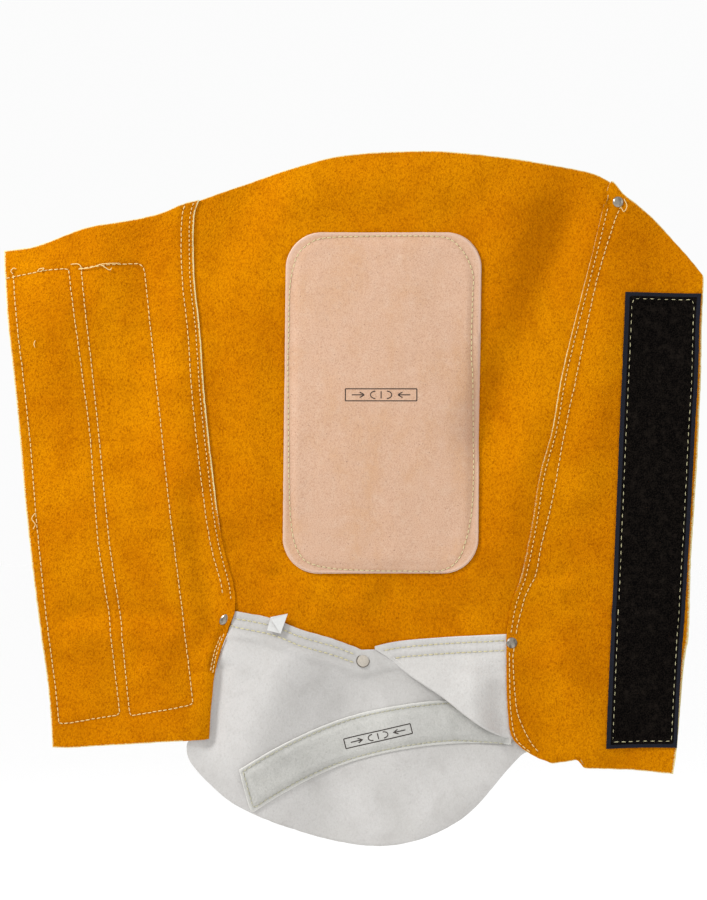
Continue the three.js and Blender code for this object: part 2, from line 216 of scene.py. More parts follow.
# Each soft fold: from, to, half width, and how far it falls back, or comes forward if negative
FOLDS = [
    ((128, 128), (74, -22), 20, 5.4),
    ((96, 140), (96, 40), 26, -3.0),
    ((104, -20), (84, -96), 16, -2.5),
    ((-134, -70), (-116, -160), 12, 3.0),
    ((-148, 70), (-138, -70), 18, -2.5),
    ((-100, -104), (-80, -136), 15, 2.8),
    ((-88, -60), (-92, 60), 20, -1.6),
    ((62, -118), (84, -128), 15, -2.6),
    ((10, -132), (50, -150), 14, 2.0),
    ((-60, -136), (-20, -140), 16, -2.0),
    ((-73, -122), (-52, -141), 6, 2.0),
    ((-112.5, -160), (-118.5, -184), 2.4, 1.2),
    ((-113, -188), (-119, -236), 6, 1.8),
    ((-212, -146), (-156, -149), 10, 1.8),
    ((-212, -164), (-150, -166), 13, -2.0),
    ((-250, 60), (-200, 86), 34, -4.0),
    ((-236, -30), (-190, -10), 40, 3.0),
    ((-232, -200), (-200, -225), 26, 3.5),
    ((-160, -190), (-138, -225), 16, -3.0),
    ((-170, 110), (-150, 40), 18, 2.2),
    ((158, 60), (140, -60), 16, -2.6),
    ((200, 110), (222, 60), 26, 4.0),
    ((132, -137), (162, -147), 5, 1.3),
    ((108, -121), (128, -121), 5, 1.2),
    ((128, -180), (150, -236), 16, -3.0),
    ((190, -240), (212, -180), 26, 3.0),
    ((-60, 150), (60, 162), 20, -3.0),
    ((-110, 110), (-90, 150), 20, 2.4),
    ((-70, -190), (-96, -250), 22, -4.0),
    ((-20, -215), (-40, -300), 26, 3.5),
    ((30, -300), (80, -262), 20, -3.5),
]


def fall(x, z, fold):
    (ax, az), (bx, bz), width, depth = fold
    dx, dz = bx - ax, bz - az
    t = min(max(((x - ax) * dx + (z - az) * dz) / (dx * dx + dz * dz), 0.0), 1.0)
    gap = math.hypot(x - ax - t * dx, z - az - t * dz) / width
    return depth * math.exp(-gap * gap) if gap < 3 else 0.0


def drape(x, z):
    """How far the whole guard lies back from flat at a spot."""
    soft = 1.1 * noise.noise(Vector((x / 52, 3.1, z / 52)))
    fine = 0.35 * noise.noise(Vector((x / 15, 7.7, z / 15)))
    return soft + fine + FOLD_DEPTH * sum(fall(x, z, fold) for fold in FOLDS)


def ankle_lap(x, z):
    """The wings' ankle edges ride up over the ends of the foot flap."""
    on_left = smoothstep(-18, -5, x - LEFT_ANKLE.side(z)) if x < 0 else 0.0
    on_right = smoothstep(-18, -5, RIGHT_ANKLE.side(z) - x) if x > 0 else 0.0
    return 1.6 * (on_left * smoothstep(-136, -150, z) + on_right * smoothstep(-152, -166, z))


def wing_front(x, z):
    return LAP_FRONT + drape(x, z) - ankle_lap(x, z)


def panel_front(x, z):
    return PANEL_FRONT + drape(x, z)


def flap_front(x, z):
    step = smoothstep(16.5, 22, BAND_TOP.height(x) - z)
    return LAP_FRONT + (PANEL_FRONT - LAP_FRONT) * step + drape(x, z)


def raised_face(inset, rim, face, shoulder):
    """A pocket's face over its plate: low at its sewn rim and raised inside it."""
    return rim + (face - rim) * smoothstep(shoulder * 0.45, shoulder, inset)


def pad_inset(x, z):
    """How far inside the pad's outline a spot is."""
    half_x, half_z, corner = PAD["width"] / 2, PAD["height"] / 2, PAD["corner"]
    dx, dz = abs(x - PAD["lean"] * z) - (half_x - corner), abs(z) - (half_z - corner)
    if dx > 0 and dz > 0:
        return corner - math.hypot(dx, dz)
    return min(corner - dx, corner - dz)


def pad_front(x, z):
    inset = pad_inset(x, z)
    crown = 0.9 * (1 - (x / 69) ** 2) * (1 - (z / 120) ** 2)
    roll = 1.1 * max(0.0, 1 - inset / 1.3) ** 2
    return raised_face(inset, 1.2, 0.1, 10) - crown + roll + drape(x, z)


def patch_inset(x, z):
    dx, dz = x - PATCH["x"], z - PATCH["z"]
    across = PATCH["half"] - abs(math.hypot(dx, dz) - PATCH["radius"])
    turn = math.degrees(math.atan2(dz, dx))
    return min(across, math.radians(turn - PATCH["start"]) * PATCH["radius"],
               math.radians(PATCH["end"] - turn) * PATCH["radius"] + 4)


def patch_front(x, z):
    roll = 0.7 * max(0.0, 1 - patch_inset(x, z) / 1.0) ** 2
    return raised_face(patch_inset(x, z), 2.1, 0.9, 7) + roll + drape(x, z)


# ---------------------------------------------------------------- finishes

def linear(red, green, blue):
    """A colour given as 0 to 255 values of a display."""
    def decoded(value):
        value /= 255
        return value / 12.92 if value <= 0.04045 else ((value + 0.055) / 1.055) ** 2.4
    return (decoded(red), decoded(green), decoded(blue), 1)


class Finish:
    """A material built from nodes."""

    def __init__(self, name, roughness, specular=0.2, metallic=0.0):
        self.material = bpy.data.materials.new(name)
        self.material.use_nodes = True
        self.nodes = self.material.node_tree.nodes
        self.links = self.material.node_tree.links
        self.shader = self.nodes["Principled BSDF"]
        self.shader.inputs["Roughness"].default_value = roughness
        self.shader.inputs["Specular IOR Level"].default_value = specular
        self.shader.inputs["Metallic"].default_value = metallic
        self.place = self.nodes.new("ShaderNodeTexCoord").outputs["Object"]
        self.height = None

    def sheen(self, weight, roughness, tint):
        self.shader.inputs["Sheen Weight"].default_value = weight
        self.shader.inputs["Sheen Roughness"].default_value = roughness
        self.shader.inputs["Sheen Tint"].default_value = tint

    def turned(self, angles=(0, 0, 0), scale=(1, 1, 1)):
        mapping = self.nodes.new("ShaderNodeMapping")
        mapping.inputs["Rotation"].default_value = [math.radians(a) for a in angles]
        mapping.inputs["Scale"].default_value = scale
        self.links.new(self.place, mapping.inputs["Vector"])
        return mapping.outputs["Vector"]

    def mottle(self, size, detail=3.0, roughness=0.55, place=None, distortion=0.0):
        """Cloudy variation with features about size millimetres across."""
        node = self.nodes.new("ShaderNodeTexNoise")
        node.inputs["Scale"].default_value = 1000 / size
        node.inputs["Detail"].default_value = detail
        node.inputs["Roughness"].default_value = roughness
        node.inputs["Distortion"].default_value = distortion
        self.links.new(place or self.place, node.inputs["Vector"])
        return node.outputs["Fac"]

    def cells(self, size, place=None):
        node = self.nodes.new("ShaderNodeTexVoronoi")
        node.inputs["Scale"].default_value = 1000 / size
        self.links.new(place or self.place, node.inputs["Vector"])
        return node.outputs["Distance"]

    def wave(self, size, place, distortion=0.0, bands="X"):
        node = self.nodes.new("ShaderNodeTexWave")
        node.bands_direction = bands
        node.inputs["Scale"].default_value = 500 / size
        node.inputs["Distortion"].default_value = distortion
        node.inputs["Detail"].default_value = 1
        self.links.new(place, node.inputs["Vector"])
        return node.outputs["Fac"]

    def mark(self, name):
        node = self.nodes.new("ShaderNodeAttribute")
        node.attribute_name = name
        return node.outputs["Fac"]

    def fade(self, value, low, high, to_low=0.0, to_high=1.0):
        node = self.nodes.new("ShaderNodeMapRange")
        node.interpolation_type = "SMOOTHSTEP"
        for socket, number in zip(("From Min", "From Max", "To Min", "To Max"),
                                  (low, high, to_low, to_high)):
            node.inputs[socket].default_value = number
        self.links.new(value, node.inputs["Value"])
        return node.outputs["Result"]

    def combined(self, operation, a, b):
        node = self.nodes.new("ShaderNodeMath")
        node.operation = operation
        for socket, value in zip(node.inputs, (a, b)):
            self.feed(value, socket)
        return node.outputs[0]

    def feed(self, value, socket):
        if isinstance(value, bpy.types.NodeSocket):
            self.links.new(value, socket)
        else:
            socket.default_value = value

    def mix(self, share, first, second):
        node = self.nodes.new("ShaderNodeMix")
        node.data_type = "RGBA"
        sockets = [s for s in node.inputs if s.enabled]
        for socket, value in zip(sockets, (share, first, second)):
            self.feed(value, socket)
        return next(s for s in node.outputs if s.enabled)

    def colour(self, value):
        self.feed(value, self.shader.inputs["Base Color"])

    def rough(self, value):
        self.feed(value, self.shader.inputs["Roughness"])

    def bump(self, height, distance, strength=1.0):
        """Adds relief that is distance millimetres deep."""
        node = self.nodes.new("ShaderNodeBump")
        node.inputs["Distance"].default_value = distance * MM
        node.inputs["Strength"].default_value = strength
        self.links.new(height, node.inputs["Height"])
        if self.height:
            self.links.new(self.height, node.inputs["Normal"])
        self.height = node.outputs["Normal"]
        self.links.new(self.height, self.shader.inputs["Normal"])


def suede(name, base, pale, deep, cut_edge, nap=0.45, grain=0.6, sheen=0.2, sheen_tint=None,
          specular=0.15):
    """Split leather: a short brushed nap, faintly cloudy dye, a pale cut edge and pressed seams with painted
    shade round their holes.
    """
    finish = Finish(name, 0.9, specular=specular)
    finish.sheen(sheen, 0.4, sheen_tint or pale)
    clouds = finish.mottle(70, 3, 0.55, distortion=0.3)
    patches = finish.mottle(16, 3, 0.6, distortion=0.6)
    tuft = finish.mottle(1.5, 3, 0.7, distortion=0.4)
    brushed = finish.mottle(1.1, 2, 0.65, finish.turned((0, 28, 0), (1, 1, 0.6)))
    fibre = finish.mottle(0.7, 2, 0.7)
    colour = finish.mix(finish.fade(clouds, 0.36, 0.66, 0.0, 0.6), base, pale)
    colour = finish.mix(finish.fade(patches, 0.42, 0.72, 0.0, 0.2), colour, deep)
    colour = finish.mix(finish.fade(brushed, 0.46, 0.78, 0.0, grain * 0.7), colour, deep)
    colour = finish.mix(finish.fade(tuft, 0.48, 0.78, 0.0, grain * 0.7), colour, deep)
    colour = finish.mix(finish.fade(tuft, 0.24, 0.48, grain * 0.7, 0.0), colour, pale)
    colour = finish.mix(finish.fade(fibre, 0.5, 0.78, 0.0, grain * 0.7), colour, deep)
    # painted shade: the leather darkens round each needle hole, standing in for the shaded puckers
    colour = finish.mix(finish.fade(finish.mark("stitch_shade"), 0.1, 1.0, 0.0, 0.3), colour, deep)
    # pale band round a pocket's rim: partly paler edge leather, partly painted highlight on the puffed rim
    colour = finish.mix(finish.fade(finish.mark("border"), 0.0, 1.0, 0.0, 0.5), colour, cut_edge)
    ragged = finish.combined("ADD", finish.mark("edge"), finish.fade(fibre, 0.3, 0.7, -0.3, 0.3))
    colour = finish.mix(finish.fade(ragged, 0.3, 0.6), colour, cut_edge)
    finish.colour(colour)
    finish.bump(patches, 0.8, 0.5)
    finish.bump(brushed, nap * 0.7, 0.7)
    finish.bump(tuft, nap, 0.9)
    finish.bump(fibre, nap * 0.5, 1.0)
    return finish.material


def pad_hide():
    """Undyed pad leather: matt, with faint pores, dark specks and a smoother pale edge."""
    base, warm, pale = linear(191, 156, 131), linear(184, 142, 104), linear(198, 170, 148)
    grain_and_stitch_shade, speck_shade = linear(160, 120, 94), linear(98, 60, 40)
    finish = Finish("pale_hide", 0.78, specular=0.2)
    finish.sheen(0.1, 0.5, pale)
    stains = finish.mottle(34, 4, 0.65, finish.turned((0, 0, 0), (1, 1, 0.6)), distortion=0.4)
    specks = finish.fade(finish.cells(2.4), 0.04, 0.2, 1.0, 0.0)
    few = finish.fade(finish.mottle(4, 2, 0.6), 0.5, 0.62)
    grain = finish.mottle(1.0, 4, 0.75)
    tooth = finish.mottle(0.6, 2, 0.7)
    colour = finish.mix(finish.fade(stains, 0.42, 0.74, 0.0, 0.65), base, warm)
    colour = finish.mix(finish.fade(finish.mottle(8, 4, 0.7), 0.45, 0.75, 0.0, 0.5), colour, pale)
    colour = finish.mix(finish.fade(grain, 0.45, 0.7, 0.0, 0.75), colour, grain_and_stitch_shade)
    colour = finish.mix(finish.fade(tooth, 0.3, 0.52, 0.5, 0.0), colour, pale)
    colour = finish.mix(finish.fade(tooth, 0.52, 0.74, 0.0, 0.45), colour, grain_and_stitch_shade)
    dotted = finish.combined("MULTIPLY", finish.combined("MULTIPLY", specks, few), 0.75)
    colour = finish.mix(dotted, colour, speck_shade)
    # painted shade round the pad's needle holes
    colour = finish.mix(finish.fade(finish.mark("stitch_shade"), 0.1, 1.0, 0.0, 0.3), colour, grain_and_stitch_shade)
    # pale band round the pad's rim: partly paler edge leather, partly painted highlight on the rounded rim
    colour = finish.mix(finish.fade(finish.mark("border"), 0.0, 1.0, 0.0, 0.7), colour,
                        linear(196, 168, 150))
    colour = finish.mix(finish.fade(finish.mark("edge"), 0.2, 0.9, 0.0, 0.85), colour,
                        linear(206, 186, 168))
    finish.colour(colour)
    finish.bump(finish.mottle(4, 3, 0.6), 0.3, 0.5)
    finish.bump(grain, 0.25, 0.8)
    return finish.material


def thread_finish(name, shade, shadow):
    """Twisted sewing thread."""
    finish = Finish(name, 0.7, specular=0.3)
    finish.sheen(0.2, 0.4, shade)
    twist = finish.wave(0.55, finish.turned((0, 38, 0)), 0.4)
    colour = finish.mix(finish.fade(twist, 0.2, 0.9, 0.25, 0.0), shade, shadow)
    finish.colour(colour)
    finish.bump(twist, 0.16, 0.8)
    return finish.material


def plain_finish(name, shade, roughness):
    finish = Finish(name, roughness)
    finish.colour(finish.mix(finish.mottle(1.2), shade, tuple(0.6 * c for c in shade[:3]) + (1,)))
    return finish.material


def loop_finish():
    """Knitted loop pile between woven selvedges."""
    finish = Finish("loop_pile", 1.0, specular=0.03)
    finish.sheen(0.05, 0.35, linear(96, 80, 66))
    curls = finish.cells(0.95)
    crush = finish.mottle(6, 4, 0.7)
    lint = finish.fade(finish.mottle(1.5, 3, 0.8), 0.62, 0.8)
    pile = finish.mix(finish.fade(curls, 0.1, 0.7), linear(21, 17, 14), linear(4, 3, 3))
    pile = finish.mix(finish.fade(crush, 0.45, 0.75, 0.0, 0.6), pile, linear(32, 27, 23))
    pile = finish.mix(finish.combined("MULTIPLY", lint, 0.22), pile, linear(70, 62, 52))
    weave = finish.wave(1.0, finish.turned((0, -2.75, 0)), 0.3, "Z")
    border = finish.mix(finish.fade(weave, 0.2, 0.8), linear(22, 23, 30), linear(36, 38, 47))
    woven = finish.fade(finish.mark("selvedge"), 0.35, 0.6)
    finish.colour(finish.mix(woven, pile, border))
    finish.bump(finish.mottle(2.0, 3, 0.7), 0.5, 0.7)
    finish.bump(curls, 0.45, 0.9)
    return finish.material


def hook_finish():
    """Black tape covered with rows of stiff little hooks."""
    finish = Finish("hook_tape", 0.5, specular=0.4)
    upright = finish.turned((0, -6, 0))
    hooks = finish.cells(1.1, place=upright)
    ribs = finish.wave(1.6, upright, 0.2)
    colour = finish.mix(finish.fade(hooks, 0.1, 0.6), linear(34, 33, 32), linear(10, 10, 10))
    finish.colour(finish.mix(finish.fade(ribs, 0.3, 0.8, 0.0, 0.5), colour, linear(24, 24, 25)))
    finish.bump(ribs, 0.3, 0.6)
    finish.bump(hooks, 0.5, 0.9)
    return finish.material


def nickel():
    finish = Finish("nickel", 0.3, specular=0.5, metallic=1.0)
    scuffs = finish.mottle(2.2, 4, 0.7, finish.turned((0, 30, 0), (1, 1, 0.3)))
    # painted dark reflection: both tones are far darker than bare nickel; the streaks between them are scuffs
    colour = finish.mix(finish.fade(scuffs, 0.4, 0.7), linear(150, 144, 134), linear(92, 86, 78))
    finish.colour(colour)
    finish.rough(finish.fade(scuffs, 0.3, 0.8, 0.22, 0.45))
    finish.bump(scuffs, 0.06, 0.5)
    return finish.material


def aluminium():
    finish = Finish("aluminium_sheet", 0.4, specular=0.5, metallic=1.0)
    brushed = finish.mottle(1.5, 3, 0.6, finish.turned((0, 0, 0), (0.05, 1, 1)))
    finish.colour(finish.mix(brushed, linear(210, 212, 214), linear(176, 180, 184)))
    finish.rough(finish.fade(brushed, 0.3, 0.7, 0.34, 0.5))
    return finish.material


def woven_label():
    finish = Finish("label_tape", 0.85)
    warp = finish.wave(0.45, finish.place, 0.1)
    weft = finish.wave(0.45, finish.place, 0.1, "Z")
    cloth = finish.combined("MAXIMUM", warp, weft)
    finish.colour(finish.mix(finish.fade(cloth, 0.3, 0.9), linear(186, 186, 184), linear(204, 204, 202)))
    finish.bump(cloth, 0.08, 0.6)
    return finish.material


CREAM = linear(238, 212, 146)
GOLD = suede("gold_suede", linear(187, 111, 1), linear(203, 131, 2), linear(126, 60, 0),
             linear(206, 192, 140), nap=0.55, grain=0.95, sheen=0.03, sheen_tint=linear(255, 150, 10),
             specular=0.01)
GREY = suede("grey_hide", linear(177, 175, 172), linear(190, 188, 186), linear(148, 144, 140),
             linear(190, 188, 184), nap=0.2, grain=0.35, sheen=0.05, specular=0.1)
# The folded corner wears a lighter copy of the flap's grey hide: painted light, for the light the corner
# catches.
TUCK = suede("grey_hide_painted_lighter", linear(187, 185, 182), linear(200, 198, 195),
             linear(158, 154, 150), linear(206, 204, 200), nap=0.3, grain=0.4, sheen=0.05,
             specular=0.1)
GREY_SUEDE = suede("grey_suede", linear(174, 173, 169), linear(190, 189, 184),
                   linear(138, 138, 132), linear(200, 199, 194), nap=0.3, grain=0.45, sheen=0.05,
                   specular=0.1)
HIDE = pad_hide()
THREAD = thread_finish("thread", CREAM, linear(190, 146, 74))
PALE_THREAD = thread_finish("pale_thread", linear(214, 206, 158), linear(186, 176, 128))
TAPE_THREAD = thread_finish("tape_thread", linear(204, 198, 156), linear(158, 152, 108))
GREY_THREAD = thread_finish("grey_thread", linear(190, 187, 160), linear(136, 132, 108))
# Needle holes are dark discs: painted shade for the inside of each hole, on gold and pale hide and on grey
# leather.
NEEDLE_HOLE = plain_finish("needle_hole", linear(88, 48, 10), 1.0)
GREY_HOLE = plain_finish("needle_hole_grey", linear(140, 136, 126), 1.0)
PRINT = plain_finish("printed_mark", linear(52, 44, 40), 0.7)
LOOP = loop_finish()
HOOK = hook_finish()
NICKEL = nickel()
# The flat rivet's top: pale matt paint that stands in for the white reflected in its metal face.
FACED = plain_finish("nickel_painted_reflection", linear(188, 180, 168), 0.35)
ALUMINIUM = aluminium()
LABEL = woven_label()


# ---------------------------------------------------------------- making pieces

def made(name, bm, finishes, smooth=True):
    """Turns a bmesh in millimetres into a piece."""
    bmesh.ops.scale(bm, vec=(MM, MM, MM), verts=bm.verts)
    mesh = bpy.data.meshes.new(name)
    bm.to_mesh(mesh)
    bm.free()
    for finish in finishes:
        mesh.materials.append(finish)
    mesh.polygons.foreach_set("use_smooth", [smooth] * len(mesh.polygons))
    piece = bpy.data.objects.new(name, mesh)
    bpy.context.scene.collection.objects.link(piece)
    return piece


def settled(piece):
    """The piece with its modifiers applied."""
    graph = bpy.context.evaluated_depsgraph_get()
    mesh = bpy.data.meshes.new_from_object(piece.evaluated_get(graph))
    mesh.name = piece.name
    piece.modifiers.clear()
    piece.data = mesh
    return piece


def thickened(piece, thickness, sharp=50):
    """Gives a sheet its thickness behind its leg side."""
    bpy.context.view_layer.update()
    wall = piece.modifiers.new("thickness", "SOLIDIFY")
    wall.thickness = thickness * MM
    wall.offset = -1
    settled(piece)
    piece.data.set_sharp_from_angle(angle=math.radians(sharp))
    return piece


def attached(piece, body, replaced=()):
    """Fixes a piece to a named body. Given a bend, it only bakes the piece's transform in place; the piece is
    not bent.
    """
    if isinstance(body, str):
        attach(piece, body)
    else:
        name, start, end = body
        Vector(start) * MM
        Vector(end) * MM
        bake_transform(piece)
    if replaced:
        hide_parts(*replaced)


def hung(piece, cut):
    """Works out the flat size of a piece's cut, and keeps nothing of it."""
    flat, area = flat_size(cut.outline())


def spread(count, margin):
    """Shares from 0 to 1, with a narrow first and last step."""
    inner = [margin + (1 - 2 * margin) * i / (count - 2) for i in range(count - 1)]
    return [0.0, *inner, 1.0]


class Holes:
    """The needle holes of some seams, which press the leather in."""

    def __init__(self, seams):
        spots = [p for seam in seams for p in seam]
        self.tree = KDTree(len(spots)) if spots else None
        for i, spot in enumerate(spots):
            self.tree.insert((spot.x, spot.y, 0), i)
        if spots:
            self.tree.balance()

    def press(self, x, z):
        """1 at a hole and 0 well away from all of them."""
        if not self.tree:
            return 0.0
        distance = self.tree.find((x, z, 0))[2] / HOLE_REACH
        return math.exp(-distance * distance) if distance < 3 else 0.0


def hole_spots(edge, pitch=STITCH_PITCH):
    count = max(round(edge.length / pitch), 1)
    return [edge.at(i / count) for i in range(count + 1)]


def grid_spots(bm, columns, rows):
    """Each vertex of a new grid, with its column from the left and its row from the bottom."""
    bmesh.ops.create_grid(bm, x_segments=columns, y_segments=rows, size=0.5)
    for vertex in bm.verts:
        yield vertex, round((vertex.co.x + 0.5) * columns), round((vertex.co.y + 0.5) * rows)


def draped_grid(place, columns, rows, front, holes, fray=0.3, border=None, bare=None):
    """A grid laid over the leather's shape, with marks for its cut edge, for the painted shade round its
    stitch holes and for a pocket's pale rim.
    """
    bm = bmesh.new()
    edge_mark = bm.verts.layers.float.new("edge")
    stitch_shade_mark = bm.verts.layers.float.new("stitch_shade")
    border_mark = bm.verts.layers.float.new("border")
    for vertex, column, row in grid_spots(bm, columns, rows):
        spot = place(column, row)
        rim = column in (0, columns) or row in (0, rows)
        if rim:
            wander = noise.noise_vector(Vector((spot.x / 4, 1.7, spot.y / 4)))
            spot = spot + Vector((wander.x, wander.z)) * fray
        press = holes.press(spot.x, spot.y)
        y = front(spot.x, spot.y) + PUCKER * press + (RIM_FALL if rim else 0.0)
        vertex[edge_mark] = (bare(spot.x, spot.y) if bare else 1.0) if rim else 0.0
        # mask of the painted shade round the needle holes
        vertex[stitch_shade_mark] = press
        vertex[border_mark] = border(spot.x, spot.y) if border else 0.0
        vertex.co = (spot.x, y, spot.y)
    return bm


def hide(name, cut, columns, rows, front, seams, finish, rim=0.007, bare=None):
    """A sheet of leather, cut to an outline, whose pale cut edge is a share rim of its width.
    Bare tells how plainly the cut edge shows at a spot, from 0 to 1."""
    across, up = spread(columns, rim), spread(rows, 0.003)
    bm = draped_grid(lambda i, j: cut.at(across[i], up[j]), columns, rows, front, Holes(seams),
                     bare=bare)
    return thickened(made(name, bm, [finish]), LEATHER)


def stitch(bm, start, end, out, radius, tilt, share):
    """One stitch that dives into its two holes."""
    middle, along = (start + end) / 2, (end - start)
    length = along.length * share
    along.normalize()
    across = along.cross(out).normalized()
    along = (along + across * tilt).normalized()
    across = along.cross(out).normalized()
    axes = Matrix((across, out, along)).transposed()
    shape = bmesh.ops.create_uvsphere(bm, u_segments=6, v_segments=5, radius=1)
    for vertex in shape["verts"]:
        x, y, z = vertex.co
        wide = math.hypot(x, y)
        full = wide ** 0.6 / wide if wide > 0.01 else 1.0
        local = Vector((x * full * radius, y * full * radius * 0.9, z * length / 2))
        local.y -= 0.35 * radius * z * z
        vertex.co = middle + axes @ local


# A flat dark disc at a hole: painted shade for the inside of a needle hole.
def needle_hole(bm, spot, out, radius):
    shape = bmesh.ops.create_uvsphere(bm, u_segments=6, v_segments=3, radius=radius)
    turn = out.to_track_quat("Z", "Y")
    faces = set()
    for vertex in shape["verts"]:
        vertex.co = spot + turn @ Vector((vertex.co.x, vertex.co.y, vertex.co.z * 0.22))
        faces.update(vertex.link_faces)
    for face in faces:
        face.material_index = 1


def sewn_line(bm, spots, front, outward, radius, share):
    """A line of stitches through the given holes, made a few at a time."""
    def surface(spot):
        return Vector((spot.x, front(spot.x, spot.y), spot.y))
    out = Vector((0, outward, 0))
    lift = out * radius * 0.4
    for first in range(0, len(spots) - 1, 12):
        run = spots[first:first + 13]
        few = bmesh.new()
        for here, there in zip(run, run[1:]):
            shift = Vector((random.uniform(-THREAD_WANDER, THREAD_WANDER), 0,
                            random.uniform(-THREAD_WANDER, THREAD_WANDER)))
            tilt = random.uniform(-0.07, 0.07)
            size = share * random.uniform(0.9, 1.05)
            stitch(few, surface(here) + lift + shift, surface(there) + lift + shift, out, radius,
                   tilt, size)
        for spot in run[:-1]:
            needle_hole(few, surface(spot) - out * 0.02, out, radius * (1.55 - share))
        poured(bm, few)


def poured(bm, few):
    """Adds one bmesh to another."""
    mesh = bpy.data.meshes.new("few")
    few.to_mesh(mesh)
    few.free()
    bm.from_mesh(mesh)
    bpy.data.meshes.remove(mesh)


def sewing(name, seams, front, body, replaced=(), thread=THREAD, hole=NEEDLE_HOLE, outward=-1,
           radius=THREAD_RADIUS, tails=(), shares=()):
    """The thread of some seams as one piece. A front of leather is pressed in at its holes.
    A seam's share is how much of each step between two holes its thread shows."""
    bm = bmesh.new()
    for i, spots in enumerate(seams):
        share = shares[i] if i < len(shares) else THREAD_SHARE
        sewn_line(bm, spots, lambda x, z: front(x, z) - outward * PUCKER * 0.6, outward, radius, share)
    for points in tails:
        thread_tail(bm, points, front, outward, radius * 0.8)
    piece = made(name, bm, [thread, hole])
    attached(piece, body, replaced)


def thread_tail(bm, points, front, outward, radius):
    """A loose end of thread: x, z and how far it stands off the leather at each point."""
    knots = [Vector((x, front(x, z) + outward * (off + radius), z)) for x, z, off in points]
    route = rounded(knots, 5)
    rings = []
    for i, spot in enumerate(route):
        along = route[min(i + 1, len(route) - 1)] - route[max(i - 1, 0)]
        turn = along.to_track_quat("Z", "Y").to_matrix().to_4x4()
        size = radius * (0.5 if i in (0, len(route) - 1) else 1)
        ring = bmesh.ops.create_circle(
            bm, segments=6, radius=size, matrix=Matrix.Translation(spot) @ turn)["verts"]
        rings.append(ring)
    for a, b in zip(rings, rings[1:]):
        edges = {e for ring in (a, b) for v in ring for e in v.link_edges
                 if all(w in ring for w in e.verts)}
        bmesh.ops.bridge_loops(bm, edges=list(edges))
    for ring in (rings[0], rings[-1]):
        bmesh.ops.contextual_create(bm, geom=ring)
    tube = list({f for ring in rings for v in ring for f in v.link_faces})
    bmesh.ops.recalc_face_normals(bm, faces=tube)


# ---------------------------------------------------------------- stitch lines

def inner_part(edge, start_mm, end_mm):
    return edge.part(start_mm / edge.length, 1 - end_mm / edge.length, 60)


LEFT_SEAM_LINES = [
    hole_spots(inner_part(LEFT_SEAM.moved(-3, 0), 2, 8), 3.2),
    hole_spots(inner_part(LEFT_SEAM.moved(-8.6, 0), 4, 12)),
]
LEFT_ANKLE_LINES = [
    hole_spots(inner_part(LEFT_ANKLE.moved(-1.6, 0), 17, 46), 3.2),
    hole_spots(inner_part(LEFT_ANKLE.moved(-3.4, 0), 19, 48), 3.2),
]
RIGHT_OUTER = Edge([
    (168.2, 139), (163, 127), (149, 80), (136, 18), (127.5, -22), (119, -69), (111.5, -100),
    (107.9, -120.7), (104, -127.6), (100, -136.4), (98.1, -143.3), (95.1, -155.1), (93.7, -162),
])
RIGHT_SEAM_LINES = [
    hole_spots(inner_part(RIGHT_SEAM.moved(3.2, 0), 3, 0.5), 3.4),
    hole_spots(RIGHT_OUTER),
]
RIGHT_ANKLE_LINES = [
    hole_spots(inner_part(RIGHT_ANKLE.moved(2.2, 0), 12, 8)),
    hole_spots(Edge([(92.4, -171), (91.6, -179), (92.5, -197), (94.4, -215), (98.1, -226),
                     (103, -236), (109.5, -244.5)])),
]
BAND_LEFT_LINES = [
    hole_spots(inner_part(BAND_LEFT.moved(0, -5.2), 0.5, 6)),
    hole_spots(joined(Edge([(-107, -155.5), (-103, -157.4)], smooth=False),
                      inner_part(BAND_LEFT.moved(0, -11.4), 0, 6))),
]
BAND_RIGHT_LINES = [
    hole_spots(inner_part(BAND_RIGHT.moved(0, -4.6), 16, 1)),
    hole_spots(inner_part(BAND_RIGHT.moved(0, -11.4), 24, 1)),
]
HOOK_OUTLINES = [
    Edge([(-263.3, 86.8), (-246.7, 90.3), (-235.6, 92.6), (-218.9, 93.7), (-205, -24.5), (-199, -99),
          (-191, -150.5), (-184, -219), (-220.5, -225), (-227, -225.3), (-235, -153),
          (-243, -76), (-247.5, -24.5), (-258, 90)], smooth=False),
    Edge([(-210, 92.5), (-199, -24.5), (-191, -99), (-182.5, -156), (-177, -219.5),
          (-132.3, -211), (-140, -146.5), (-147.7, -83.5), (-154, -24.5), (-166.8, 94.6),
          (-170.5, 97.6), (-189.9, 96.5), (-212, 93.7)], smooth=False),
]
HOOK_LINES = [hole_spots(edge) for edge in HOOK_OUTLINES]


def strip_corners(x, z, tilt):
    """Corners of a strip turned clockwise: bottom left, bottom right, top left, top right."""
    turn = math.radians(tilt)
    across = Vector((math.cos(turn), -math.sin(turn))) * STRIP["width"] / 2
    up = Vector((math.sin(turn), math.cos(turn))) * STRIP["height"] / 2
    return [Vector((x, z)) + u * across + v * up for v in (-1, 1) for u in (-1, 1)]


def strip_spot(corners, u, v):
    """The spot of a strip at u across it and v up it, each from -1 to 1."""
    low = corners[0].lerp(corners[1], (u + 1) / 2)
    high = corners[2].lerp(corners[3], (u + 1) / 2)
    return low.lerp(high, (v + 1) / 2)


def strip_frame(corners, side, end):
    """A line round a strip, side and end millimetres inside its edges."""
    u, v = 1 - 2 * side / STRIP["width"], 1 - 2 * end / STRIP["height"]
    return Edge([strip_spot(corners, a * u, b * v)
                 for a, b in ((-1, -1), (1, -1), (1, 1), (-1, 1), (-1, -1))], smooth=False)


